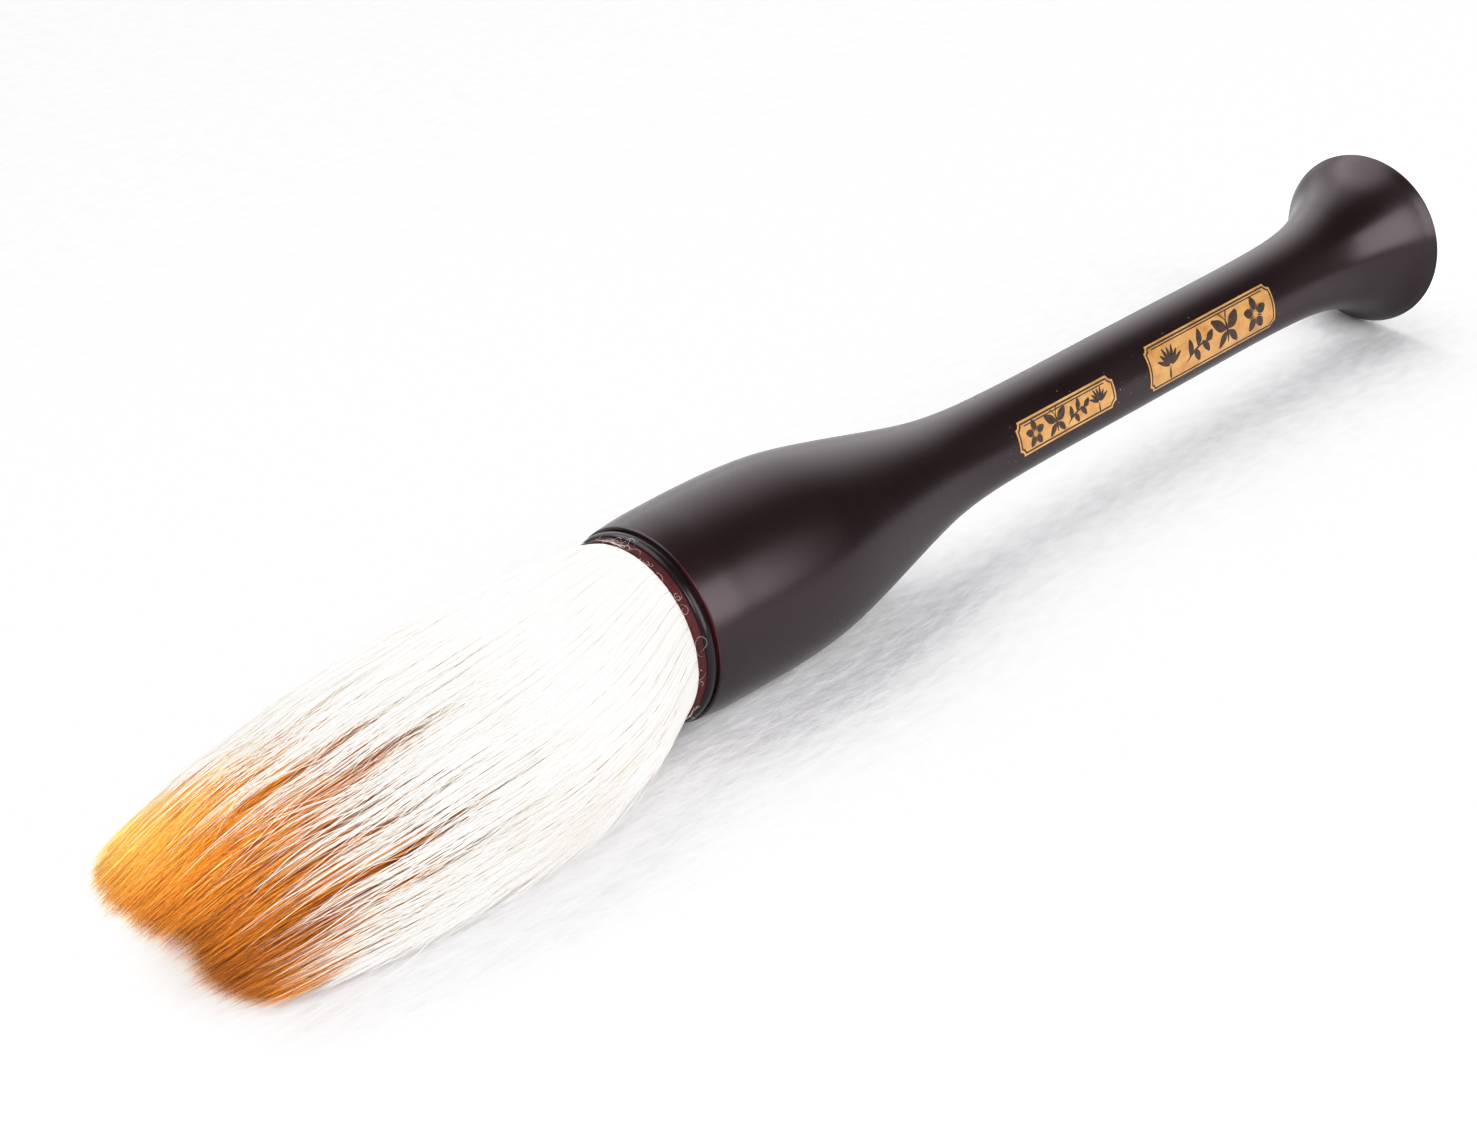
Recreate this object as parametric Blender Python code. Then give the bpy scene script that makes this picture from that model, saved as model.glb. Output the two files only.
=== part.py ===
"""Large calligraphy brush lying on its side.

The brush lies along X with its tuft towards -X, its tail towards +X and Z up, on the
plane z = 0.  Stations along the brush are measured from the mouth of the hair cup:
positive towards the tail, negative towards the tip of the tuft.
"""
import math

import bmesh
import bpy
from mathutils import Vector

# Driving dimensions, in metres.
GAP = 0.0003                  # left between any two touching pieces
CUP_R = 0.0204                # widest radius of the hair cup, which rests on the plane
TAIL_R = CUP_R                # radius of the tail's rim, which rests on the plane too
RIM_STATION = 0.2400          # widest station of the tail's rim
TAIL_END = 0.2415             # flat end face of the tail
TAIL_ROUND = TAIL_END - RIM_STATION
TIP_STATION = -0.1055         # tip of the tuft
CUP_FRONT = 0.0042            # front face of the cup's wood, behind its bead ring
CUP_JOINT = 0.0970            # glued joint between the cup's neck and the shaft
TAIL_JOINT = 0.2040           # glued joint between the shaft and the tail

# Outline of the turned handle: stations and radii that a smooth curve passes through.
OUTLINE = (
    (CUP_FRONT, 0.0195), (0.0120, 0.0202), (0.0260, CUP_R), (0.0400, 0.0199),
    (0.0560, 0.0170), (0.0720, 0.0133), (0.0860, 0.0105), (0.1000, 0.0095),
    (0.1180, 0.0093), (0.1500, 0.0094), (0.1850, 0.0094), (0.2050, 0.0097),
    (0.2160, 0.0105), (0.2260, 0.0126), (0.2340, 0.0160), (RIM_STATION, TAIL_R),
)
OUTLINE_STEP = 0.0040         # spacing of the rings along the turned outline
ROUND_SIDES = 48              # facets around a turned piece
ROUND_STEPS = 4               # facets along a rounded edge or bead
SHARP_ANGLE = 40.0            # edges that turn by more degrees than this stay sharp
MERGE = 1e-6                  # joins the first and last ring of a spin

SLEEVE_R = 0.0176             # outer radius of the lining sleeve inside the cup
SLEEVE_BORE = 0.0170
SLEEVE_END = 0.0137
LIP_R = 0.01835               # radius of the sleeve's visible lip
LIP_END = 0.00165
LIP_EDGE = 0.0004             # rounding of the lip's front edge
RING_FRONT = LIP_END + GAP
RING_END = CUP_FRONT - GAP
RING_R = 0.0191
RING_BORE = SLEEVE_R + GAP

ROOT_BORE = 0.0172            # the cup's bore behind the sleeve
ROOT_R = SLEEVE_BORE - GAP
ROOT_END = 0.0335
WAIST = (0.0252, 0.0293)      # stations of the bound waist of the hair root
WAIST_R = 0.0158
THREAD_TURNS = 4
THREAD_DIP = 15.0             # degrees left off each side of a turn, where turns meet
CUP_FLOOR = 0.0400
FLOOR_R = 0.0110
FLOOR_CONE = 0.0340           # where the bore starts to close towards the floor

TENON_R = 0.0060
CUP_TENON = 0.0520            # bottom of the socket in the cup's neck
TAIL_TENON = 0.2220           # bottom of the socket in the tail

LABEL_THICK = 0.00035
LABELS = {                    # first and last station, middle angle, half angle
    "label_large": (0.1450, 0.1909, 20.0, 32.0),
    "label_small": (0.1011, 0.1331, 21.5, 22.5),
}
LABEL_NOTCH = 0.0013          # radius of the notch cut from each corner
LABEL_COLUMNS = 12            # facets across a label

# Sections of the free tuft: station, half width, half height, height of its middle.
TUFT = (
    (-0.0006, 0.0174, 0.0174, CUP_R), (-0.0080, 0.0222, 0.0186, 0.0192),
    (-0.0200, 0.0270, 0.0178, 0.0178), (-0.0400, 0.0294, 0.0168, 0.0168),
    (-0.0600, 0.0290, 0.0158, 0.0158), (-0.0780, 0.0265, 0.0138, 0.0140),
    (-0.0940, 0.0222, 0.0112, 0.0122), (-0.1020, 0.0190, 0.0092, 0.0110),
    (TIP_STATION, 0.0160, 0.0066, 0.0102),
)
TUFT_STEP = 0.0060
TUFT_SIDES = 32
COAT_THICK = 0.0030           # thickness of the coat of white hair over the core
COAT_END = -0.0780            # where the white coat ends and the core shows
COAT_TAPER = 0.0060           # length over which the coat closes onto the core

MOUTH_X = -(TAIL_END + TIP_STATION) / 2

COLOURS = {                   # base colour, roughness, metallic
    "black_lacquer": ((0.022, 0.013, 0.014), 0.38, 0.0),
    "ring_lacquer": ((0.016, 0.012, 0.013), 0.25, 0.0),
    "maroon_lacquer": ((0.16, 0.025, 0.028), 0.55, 0.0),
    "gold": ((0.75, 0.46, 0.17), 0.35, 0.9),
    "bare_wood": ((0.42, 0.27, 0.15), 0.70, 0.0),
    "rosin": ((0.38, 0.16, 0.03), 0.15, 0.0),
    "thread": ((0.75, 0.70, 0.60), 0.80, 0.0),
    "amber_hair": ((0.72, 0.36, 0.06), 0.50, 0.0),
    "white_hair": ((0.90, 0.87, 0.81), 0.55, 0.0),
}


def clear_scene():
    for old in list(bpy.data.objects):
        bpy.data.objects.remove(old, do_unlink=True)


def material(name):
    colour, roughness, metallic = COLOURS[name]
    made = bpy.data.materials.new(name)
    made.use_nodes = True
    shader = made.node_tree.nodes["Principled BSDF"]
    shader.inputs["Base Color"].default_value = (*colour, 1.0)
    shader.inputs["Roughness"].default_value = roughness
    shader.inputs["Metallic"].default_value = metallic
    return made


def smooth_at(table, station):
    """Read every column of a table of rows at a station, on one smooth curve."""
    rows = sorted(table)
    station = min(max(station, rows[0][0]), rows[-1][0])
    i = max(k for k in range(len(rows) - 1) if rows[k][0] <= station)
    x0, x1 = rows[i][0], rows[i + 1][0]
    t = (station - x0) / (x1 - x0)
    values = []
    for column in range(1, len(rows[0])):
        y0, y1 = rows[i][column], rows[i + 1][column]
        m0, m1 = (slope_at(rows, k, column) * (x1 - x0) for k in (i, i + 1))
        values.append(
            y0 * (2 * t**3 - 3 * t**2 + 1) + m0 * (t**3 - 2 * t**2 + t)
            + y1 * (3 * t**2 - 2 * t**3) + m1 * (t**3 - t**2)
        )
    return values


def slope_at(rows, k, column):
    """The curve's slope at row k: the harmonic mean of its two neighbours' slopes."""
    slopes = [
        (rows[j + 1][column] - rows[j][column]) / (rows[j + 1][0] - rows[j][0])
        for j in (k - 1, k) if 0 <= j < len(rows) - 1
    ]
    if len(slopes) == 1:
        return slopes[0]
    if slopes[0] * slopes[1] <= 0:
        return 0.0
    return 2 * slopes[0] * slopes[1] / (slopes[0] + slopes[1])


def radius_at(station):
    return smooth_at(OUTLINE, station)[0]


def outline_between(first, last):
    """Points of the turned outline from one station to another."""
    count = math.ceil((last - first) / OUTLINE_STEP)
    stations = [first + (last - first) * k / count for k in range(count + 1)]
    return [(x, radius_at(x)) for x in stations]


def arc(centre, radius, start, end):
    """Points of a round edge, at angles in degrees from the tail's direction."""
    points = []
    for k in range(ROUND_STEPS + 1):
        angle = math.radians(start + (end - start) * k / ROUND_STEPS)
        points.append((centre[0] + radius * math.cos(angle), centre[1] + radius * math.sin(angle)))
    return points


def finish(name, mesh_data, slot):
    """Store a bmesh as a named object with its faces out and its edges shaded."""
    bmesh.ops.recalc_face_normals(mesh_data, faces=mesh_data.faces)
    mesh = bpy.data.meshes.new(name)
    mesh_data.to_mesh(mesh)
    mesh_data.free()
    mesh.materials.append(material(slot))
    mesh.shade_smooth()
    mesh.set_sharp_from_angle(angle=math.radians(SHARP_ANGLE))
    made = bpy.data.objects.new(name, mesh)
    made.location = (MOUTH_X, 0.0, CUP_R)
    bpy.context.scene.collection.objects.link(made)
    return made


def turn(name, profile, slot, closed):
    """Spin a profile of (station, radius) points about the brush's axis."""
    shape = bmesh.new()
    points = [shape.verts.new((x, 0.0, -r)) for x, r in profile]
    edges = [shape.edges.new(pair) for pair in zip(points, points[1:])]
    if closed:
        edges.append(shape.edges.new((points[-1], points[0])))
    bmesh.ops.spin(
        shape, geom=points + edges, cent=(0, 0, 0), axis=(1, 0, 0),
        angle=math.tau, steps=ROUND_SIDES, use_merge=True,
    )
    bmesh.ops.remove_doubles(shape, verts=shape.verts, dist=MERGE)
    return finish(name, shape, slot)


def hair_cup():
    """The bell-shaped cup: bored in front for the hair, behind for the shaft's tenon."""
    profile = [(CUP_FLOOR, 0.0), (CUP_FLOOR, FLOOR_R), (FLOOR_CONE, ROOT_BORE)]
    profile += [(SLEEVE_END + GAP, ROOT_BORE), (SLEEVE_END + GAP, RING_BORE)]
    profile += [(CUP_FRONT, RING_BORE)]
    profile += outline_between(CUP_FRONT, CUP_JOINT)
    profile += [(CUP_JOINT, TENON_R + GAP), (CUP_TENON, TENON_R + GAP), (CUP_TENON, 0.0)]
    turn("hair_cup", profile, "black_lacquer", closed=False)


def bead_ring():
    """A rounded ring glued to the cup's front face, around the sleeve."""
    middle = (RING_FRONT + RING_END) / 2
    half = (RING_END - RING_FRONT) / 2
    bead = arc((middle, RING_R - half), half, 180, 0)
    turn("bead_ring", [(RING_FRONT, RING_BORE), *bead, (RING_END, RING_BORE)],
         "ring_lacquer", closed=True)


def lining_sleeve():
    """The maroon sleeve that lines the mouth, with a lip in front of the bead ring."""
    lip = arc((LIP_EDGE, LIP_R - LIP_EDGE), LIP_EDGE, 180, 90)
    profile = [(0.0, SLEEVE_BORE), *lip, (LIP_END, LIP_R), (LIP_END, SLEEVE_R)]
    profile += [(SLEEVE_END, SLEEVE_R), (SLEEVE_END, SLEEVE_BORE)]
    turn("lining_sleeve", profile, "maroon_lacquer", closed=True)


def grip_shaft():
    """The grip between cup and tail, with a glue tenon at each end."""
    front, back = CUP_JOINT + GAP, TAIL_JOINT - GAP
    profile = [(CUP_TENON + GAP, 0.0), (CUP_TENON + GAP, TENON_R), (front, TENON_R)]
    profile += outline_between(front, back)
    profile += [(back, TENON_R), (TAIL_TENON - GAP, TENON_R), (TAIL_TENON - GAP, 0.0)]
    turn("grip_shaft", profile, "black_lacquer", closed=False)


def tail_flare():
    """The trumpet-shaped tail with a rounded rim and a flat end."""
    rim = arc((RIM_STATION, TAIL_R - TAIL_ROUND), TAIL_ROUND, 90, 0)
    profile = [(TAIL_TENON, 0.0), (TAIL_TENON, TENON_R + GAP), (TAIL_JOINT, TENON_R + GAP)]
    profile += outline_between(TAIL_JOINT, RIM_STATION)[:-1]
    profile += [*rim, (TAIL_END, 0.0)]
    turn("tail_flare", profile, "black_lacquer", closed=False)


def hair_root():
    """The bound and glued butt of the hair bundle, inside the cup."""
    first, last = WAIST
    profile = [(GAP, 0.0), (GAP, ROOT_R), (first - 2 * GAP, ROOT_R), (first, WAIST_R)]
    profile += [(last, WAIST_R), (last + 2 * GAP, ROOT_R), (ROOT_END, ROOT_R), (ROOT_END, 0.0)]
    turn("hair_root", profile, "white_hair", closed=False)


def binding_thread():
    """The turns of thread that tie the root, lying side by side in its waist."""
    first, last = WAIST[0] + GAP, WAIST[1] - GAP
    thread_r = (last - first) / THREAD_TURNS / 2
    base = WAIST_R + GAP
    profile = [(first, base)]
    for k in range(THREAD_TURNS):
        centre = first + thread_r * (2 * k + 1)
        profile += arc((centre, base + GAP), thread_r, 180 - THREAD_DIP, THREAD_DIP)
    profile.append((last, base))
    turn("binding_thread", profile, "thread", closed=True)


def rosin_plug():
    """The resin bed that the root is pressed into at the bottom of the cup."""
    profile = [(ROOT_END + GAP, 0.0), (ROOT_END + GAP, ROOT_BORE - 2 * GAP)]
    profile += [(CUP_FLOOR - GAP, FLOOR_R - GAP), (CUP_FLOOR - GAP, 0.0)]
    turn("rosin_plug", profile, "rosin", closed=False)


def label_outline(length, width):
    """Half-lengths of a label along each column across it, shortened in the notches."""
    rows = []
    for k in range(LABEL_COLUMNS + 1):
        across = width * (k / LABEL_COLUMNS - 0.5)
        inside = width / 2 - abs(across)
        cut = math.sqrt(max(LABEL_NOTCH**2 - inside**2, 0.0))
        rows.append((across, length / 2 - cut))
    return rows


def label(name):
    """A thin plate bent around the shaft, with a notch cut from each corner."""
    first, last, middle, half = LABELS[name]
    base = max(radius_at(first), radius_at(last)) + GAP
    shape = bmesh.new()
    rings = []
    for across, reach in label_outline(last - first, 2 * math.radians(half) * base):
        angle = math.radians(middle) + across / base
        out = Vector((0.0, -math.cos(angle), math.sin(angle)))
        ring = []
        for side, depth in ((-1, 0.0), (1, 0.0), (1, LABEL_THICK), (-1, LABEL_THICK)):
            point = out * (base + depth)
            point.x = (first + last) / 2 + side * reach
            ring.append(shape.verts.new(point))
        rings.append(ring)
    skin(shape, rings)
    finish(name, shape, "gold")


def skin(shape, rings):
    """Join closed rings of vertices one after another, and cap both ends."""
    for ring, following in zip(rings, rings[1:]):
        for k in range(len(ring)):
            j = (k + 1) % len(ring)
            shape.faces.new((ring[k], ring[j], following[j], following[k]))
    shape.faces.new(rings[0])
    shape.faces.new(rings[-1])


def tuft_ring(shape, station, inset):
    """One oval section of the tuft, drawn in by an inset."""
    width, height, middle = smooth_at(TUFT, station)
    ring = []
    for k in range(TUFT_SIDES):
        angle = math.tau * k / TUFT_SIDES
        across = (width - inset) * math.cos(angle)
        up = (height - inset) * math.sin(angle) + middle - CUP_R
        ring.append(shape.verts.new((station, across, up)))
    return ring


def tuft_stations(first, last):
    count = math.ceil(abs(last - first) / TUFT_STEP)
    return [first + (last - first) * k / count for k in range(count + 1)]


def core_hair():
    """The amber core, under the coat near the mouth and bare at the tip."""
    shape = bmesh.new()
    rings = []
    stations = tuft_stations(TUFT[0][0], COAT_END) + tuft_stations(COAT_END, TIP_STATION)[1:]
    for station in stations:
        bare = min(max((COAT_END - station) / COAT_TAPER, 0.0), 1.0)
        rings.append(tuft_ring(shape, station, (COAT_THICK + GAP) * (1 - bare)))
    skin(shape, rings)
    finish("core_hair", shape, "amber_hair")


def cover_hair():
    """The coat of white hair: a sleeve around the core, open at both ends."""
    shape = bmesh.new()
    outer, inner = [], []
    for station in tuft_stations(TUFT[0][0], COAT_END):
        thin = min((station - COAT_END) / COAT_TAPER, 1.0)
        outer.append(tuft_ring(shape, station, (COAT_THICK - GAP) * (1 - thin)))
        inner.append(tuft_ring(shape, station, COAT_THICK))
    loop = outer + inner[::-1]
    for ring, following in zip(loop, loop[1:] + loop[:1]):
        for k in range(TUFT_SIDES):
            j = (k + 1) % TUFT_SIDES
            shape.faces.new((ring[k], ring[j], following[j], following[k]))
    finish("cover_hair", shape, "white_hair")


clear_scene()
hair_cup()
bead_ring()
lining_sleeve()
grip_shaft()
tail_flare()
hair_root()
binding_thread()
rosin_plug()
for label_name in LABELS:
    label(label_name)
core_hair()
cover_hair()
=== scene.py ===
"""The looks of a large calligraphy brush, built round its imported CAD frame.

Stations along the brush are measured from the mouth of its hair cup: positive towards the
tail, negative towards the tip of the tuft.  Everything is in metres, in the frame's axes.
"""
import math

import bmesh
import bpy
import numpy as np
from mathutils import Euler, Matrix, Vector

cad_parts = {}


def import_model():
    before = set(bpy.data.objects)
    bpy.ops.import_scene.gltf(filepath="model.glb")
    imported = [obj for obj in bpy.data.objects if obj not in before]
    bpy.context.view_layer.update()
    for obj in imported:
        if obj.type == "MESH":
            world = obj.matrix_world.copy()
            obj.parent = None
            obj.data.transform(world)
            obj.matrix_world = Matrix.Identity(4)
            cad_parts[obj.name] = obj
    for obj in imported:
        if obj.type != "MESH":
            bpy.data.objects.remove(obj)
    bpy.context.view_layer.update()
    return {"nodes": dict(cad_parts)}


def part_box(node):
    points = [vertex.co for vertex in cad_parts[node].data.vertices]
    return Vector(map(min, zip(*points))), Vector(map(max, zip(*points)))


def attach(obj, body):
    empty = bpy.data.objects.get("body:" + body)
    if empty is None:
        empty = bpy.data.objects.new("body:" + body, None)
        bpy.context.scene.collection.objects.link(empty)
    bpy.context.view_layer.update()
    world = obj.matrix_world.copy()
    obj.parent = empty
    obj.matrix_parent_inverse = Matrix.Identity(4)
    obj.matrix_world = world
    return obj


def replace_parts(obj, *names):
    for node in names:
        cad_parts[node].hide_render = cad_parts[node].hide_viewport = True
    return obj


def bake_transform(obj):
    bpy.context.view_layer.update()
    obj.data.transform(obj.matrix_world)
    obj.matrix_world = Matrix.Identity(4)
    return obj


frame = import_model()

rng = np.random.default_rng(20240611)
uniform, normal = rng.uniform, rng.normal

# ---------------- places from the frame

MOUTH_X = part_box("lining_sleeve")[0][0]
AXIS_Z = (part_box("hair_cup")[0][2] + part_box("hair_cup")[1][2]) / 2
TAIL_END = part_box("tail_flare")[1][0] - MOUTH_X
LIP_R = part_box("lining_sleeve")[1][1]
RING_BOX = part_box("bead_ring")
RING_FRONT, RING_END = RING_BOX[0][0] - MOUTH_X, RING_BOX[1][0] - MOUTH_X
RING_R = RING_BOX[1][1]
CUP_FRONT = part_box("hair_cup")[0][0] - MOUTH_X
CUP_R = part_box("hair_cup")[1][1]
ROOT_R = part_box("hair_root")[1][1]
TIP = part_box("core_hair")[0][0] - MOUTH_X
MOUTH = Vector((MOUTH_X, 0.0, AXIS_Z))

# ---------------- sizes of the fine surface

AROUND = 160                  # facets around a turned surface
SKIN_STEP = 0.0009            # spacing of rings along the handle
SMOOTH_STEP, SMOOTH_REACH = 0.0005, 0.0050
GRIP_MIN_R = 0.0085           # CAD rings thinner than this are hidden tenons
EDGE_ROUND = 0.00045          # rounding of the cup's front edge
SLEEVE_GAP = 0.0003
CLOSING_STEP = 0.0005         # length that the UVs leave for a closed profile's last step
RUB_REACH = 0.00028           # width of the rubbed edge of the cup
RUB_HEADING = (0.0, -0.87, 0.50)
TONE_STEP = 0.004             # change of tone between two corners of a strand
UPRIGHT = math.pi / 2
UP = np.array([(0.0, 0.0, 1.0)])
UV_NAME = "OFBake"


def smooth_curve(xs, ys, at):
    """A smooth curve that passes every point, with harmonic slopes so that it doesn't overshoot.
    """
    steps = np.diff(xs)
    slopes = np.diff(ys) / steps
    same = slopes[:-1] * slopes[1:] > 0
    inner = np.zeros(len(xs) - 2)
    inner[same] = 2 * slopes[:-1][same] * slopes[1:][same] / (slopes[:-1] + slopes[1:])[same]
    tangents = np.concatenate([slopes[:1], inner, slopes[-1:]])
    i = np.clip(np.searchsorted(xs, at) - 1, 0, len(xs) - 2)
    t = (at - xs[i]) / steps[i]
    return (
        ys[i] * (2 * t**3 - 3 * t**2 + 1) + tangents[i] * steps[i] * (t**3 - 2 * t**2 + t)
        + ys[i + 1] * (3 * t**2 - 2 * t**3) + tangents[i + 1] * steps[i] * (t**3 - t**2)
    )


def smoothstep(low, high, value):
    t = np.clip((value - low) / (high - low), 0.0, 1.0)
    return t * t * (3 - 2 * t)


# ---------------- mesh building

def make_mesh(name, points, quads, triangles=(), uv=None):
    """A smooth mesh object from arrays of points, quads and triangles, and UVs per corner."""
    mesh = bpy.data.meshes.new(name)
    corners = np.concatenate([np.asarray(quads, int).ravel(), np.asarray(triangles, int).ravel()])
    sizes = np.repeat((4, 3), (len(quads), len(triangles)))
    for items, key, values in (
        (mesh.vertices, "co", np.asarray(points, np.float32)),
        (mesh.loops, "vertex_index", corners.astype(np.int32)),
        (mesh.polygons, "loop_start", (np.cumsum(sizes) - sizes).astype(np.int32)),
    ):
        items.add(len(values))
        items.foreach_set(key, values.ravel())
    mesh.update(calc_edges=True)
    if uv is not None:
        layer = mesh.uv_layers.new(name=UV_NAME)
        layer.data.foreach_set("uv", np.asarray(uv, np.float32).ravel())
    mesh.shade_smooth()
    made = bpy.data.objects.new(name, mesh)
    bpy.context.scene.collection.objects.link(made)
    return made


def settle(piece, weld=0.0, sharp=0.0):
    """Merge points closer than weld, face everything outwards, and mark the sharp edges."""
    work = bmesh.new()
    work.from_mesh(piece.data)
    if weld:
        bmesh.ops.remove_doubles(work, verts=work.verts, dist=weld)
    bmesh.ops.recalc_face_normals(work, faces=work.faces)
    work.to_mesh(piece.data)
    work.free()
    if sharp:
        piece.data.set_sharp_from_angle(angle=math.radians(sharp))


def ring_faces(along, around, closed=False):
    """Quads between rings of points that follow each other, with (round, along) UVs."""
    count = len(along)
    i, k = np.meshgrid(np.arange(count if closed else count - 1), np.arange(around), indexing="ij")
    i, k = i.ravel(), k.ravel()
    j, k1 = (i + 1) % count, (k + 1) % around
    quads = np.stack([i * around + k, i * around + k1, j * around + k1, j * around + k], axis=1)
    near, far = along[i], np.where(j == 0, 1.0, along[j])
    here, next_round = k / around, (k + 1) / around
    corners = ((here, near), (next_round, near), (next_round, far), (here, far))
    return quads, np.stack([np.stack(corner, 1) for corner in corners], axis=1)


def turned(name, profile, closed=False):
    """Turn (station, radius) points about the brush's axis; an open profile ends on the axis."""
    profile = np.array(profile)
    angles = np.arange(AROUND) * math.tau / AROUND
    points = np.stack([
        np.repeat(profile[:, 0] + MOUTH_X, AROUND),
        np.outer(profile[:, 1], -np.cos(angles)).ravel(),
        np.outer(profile[:, 1], np.sin(angles)).ravel() + AXIS_Z,
    ], axis=1)
    length = np.concatenate([[0], np.cumsum(np.linalg.norm(np.diff(profile, axis=0), axis=1))])
    along = length / (length[-1] + (CLOSING_STEP if closed else 0.0))
    quads, uv = ring_faces(along, AROUND, closed)
    made = make_mesh(name, points, quads, uv=uv)
    settle(made, weld=1e-7, sharp=50.0)
    return made


def tubes(name, paths, radii, ref, tones):
    """Closed three-sided strands along many paths, each ending in a point.

    paths is (strand, ring, 3), radii (strand, ring - 1), ref one vector for all strands or for
    each, which no path runs along.  UVs hold the place along a strand and its tone, which
    changes a little from corner to corner.
    """
    n, rings = paths.shape[0], paths.shape[1] - 1
    along = np.gradient(paths, axis=1)
    along /= np.linalg.norm(along, axis=2, keepdims=True)
    side = np.cross(along, ref[:, None, :])
    side /= np.linalg.norm(side, axis=2, keepdims=True)
    other = np.cross(along, side)
    phase = uniform(0, math.tau, n)[:, None]
    corners = []
    for k in range(3):
        angle = phase + math.tau * k / 3
        spoke = side[:, :-1] * np.cos(angle)[..., None] + other[:, :-1] * np.sin(angle)[..., None]
        corners.append(paths[:, :-1] + spoke * radii[..., None])
    body = np.stack(corners, axis=2).reshape(n, rings * 3, 3)
    points = np.concatenate([body, paths[:, -1:]], axis=1)
    per = rings * 3 + 1
    place = np.linspace(0.0, 1.0, rings + 1)
    quads, around = ring_faces(place[:-1], 3)
    quad_uv = np.stack([around[..., 1], 3 * (around[..., 0] % 1) - 1], axis=-1)
    last = (rings - 1) * 3
    tris = [(2, 1, 0)] + [(last + k, last + (k + 1) % 3, per - 1) for k in range(3)]
    tri_uv = [((0.0, 1.0), (0.0, 0.0), (0.01, -1.0))]
    tri_uv += [((place[-2], k - 1), (place[-2], (k + 1) % 3 - 1), (1.0, 0.0)) for k in range(3)]

    base = (np.arange(n) * per)[:, None, None]

    def spread_uv(table):
        uv = np.repeat(np.array(table)[None], n, axis=0)
        uv[..., 0] = 0.01 + 0.98 * uv[..., 0]
        uv[..., 1] = np.clip(tones, 0.02, 0.98)[:, None, None] + uv[..., 1] * TONE_STEP
        return uv.reshape(-1, 2)

    return make_mesh(
        name, points.reshape(-1, 3),
        (quads[None] + base).reshape(-1, 4), (np.array(tris)[None] + base).reshape(-1, 3),
        np.concatenate([spread_uv(quad_uv), spread_uv(tri_uv)]),
    )


# ---------------- node materials

class Shading:
    """The nodes of a material or of the world, with short ways to add and link them."""

    def __init__(self, owner):
        owner.use_nodes = True
        self.owner = owner
        self.nodes, self.links = owner.node_tree.nodes, owner.node_tree.links

    def add(self, kind, **settings):
        node = self.nodes.new(kind)
        for key, value in settings.items():
            if key in node.inputs:
                node.inputs[key].default_value = value
            else:
                setattr(node, key, value)
        return node

    def feed(self, socket, value):
        """Link a socket to another one, or set it to a number or a colour."""
        if isinstance(value, bpy.types.NodeSocket):
            self.links.new(value, socket)
        else:
            socket.default_value = (*value, 1.0) if isinstance(value, tuple) else value

    def surface(self, inputs):
        for key, value in inputs.items():
            self.feed(self.nodes["Principled BSDF"].inputs[key], value)

    def coordinates(self, kind):
        return self.add("ShaderNodeTexCoord").outputs[kind]

    def axes(self, source):
        node = self.add("ShaderNodeSeparateXYZ")
        self.feed(node.inputs["Vector"], source)
        return node.outputs

    def ramp(self, source, *stops):
        """The colour at a place on a ramp of (place, colour) stops."""
        node = self.add("ShaderNodeValToRGB")
        elements = node.color_ramp.elements
        while len(elements) < len(stops):
            elements.new(0.5)
        for element, (place, colour) in zip(elements, stops):
            element.position = place
            element.color = (*colour, 1.0)
        self.feed(node.inputs["Fac"], source)
        return node.outputs["Color"]

    def noise(self, source, scale, detail=3.0, stretch=(1, 1, 1), roughness=0.55):
        """A noise texture on stretched coordinates."""
        mapping = self.add("ShaderNodeMapping", Scale=stretch)
        self.feed(mapping.inputs["Vector"], source)
        node = self.add("ShaderNodeTexNoise", Scale=scale, Detail=detail, Roughness=roughness)
        self.feed(node.inputs["Vector"], mapping.outputs["Vector"])
        return node.outputs["Fac"]

    def mix(self, blend, factor, first, second):
        node = self.add("ShaderNodeMix", data_type="RGBA", blend_type=blend)
        for key, value in (("Factor", factor), (6, first), (7, second)):
            self.feed(node.inputs[key], value)
        return node.outputs[2]

    def bump(self, height, strength, distance, below=None):
        node = self.add("ShaderNodeBump", Strength=strength, Distance=distance)
        self.feed(node.inputs["Height"], height)
        if below is not None:
            self.feed(node.inputs["Normal"], below)
        return node.outputs["Normal"]

    def scaled(self, source, low, high, to_low, to_high, curve="LINEAR"):
        """A value carried from one range to another, and held at its ends."""
        node = self.add("ShaderNodeMapRange", interpolation_type=curve)
        values = {"Value": source, "From Min": low, "From Max": high, "To Min": to_low,
                  "To Max": to_high}
        for key, value in values.items():
            self.feed(node.inputs[key], value)
        return node.outputs["Result"]

    def lobe(self, direction, heading, low, high, strength):
        """Soft light from one side: full where the direction's share along heading passes high."""
        node = self.add("ShaderNodeVectorMath", operation="DOT_PRODUCT")
        self.feed(node.inputs[0], direction)
        node.inputs[1].default_value = Vector(heading).normalized()
        return self.scaled(node.outputs["Value"], low, high, 0.0, strength, "SMOOTHSTEP")

    def combine(self, operation, first, second):
        node = self.add("ShaderNodeMath", operation=operation)
        for socket, value in zip(node.inputs, (first, second)):
            self.feed(socket, value)
        return node.outputs["Value"]


def material(name):
    return Shading(bpy.data.materials.new(name))


def grey(value):
    return (value, value, value)


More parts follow.
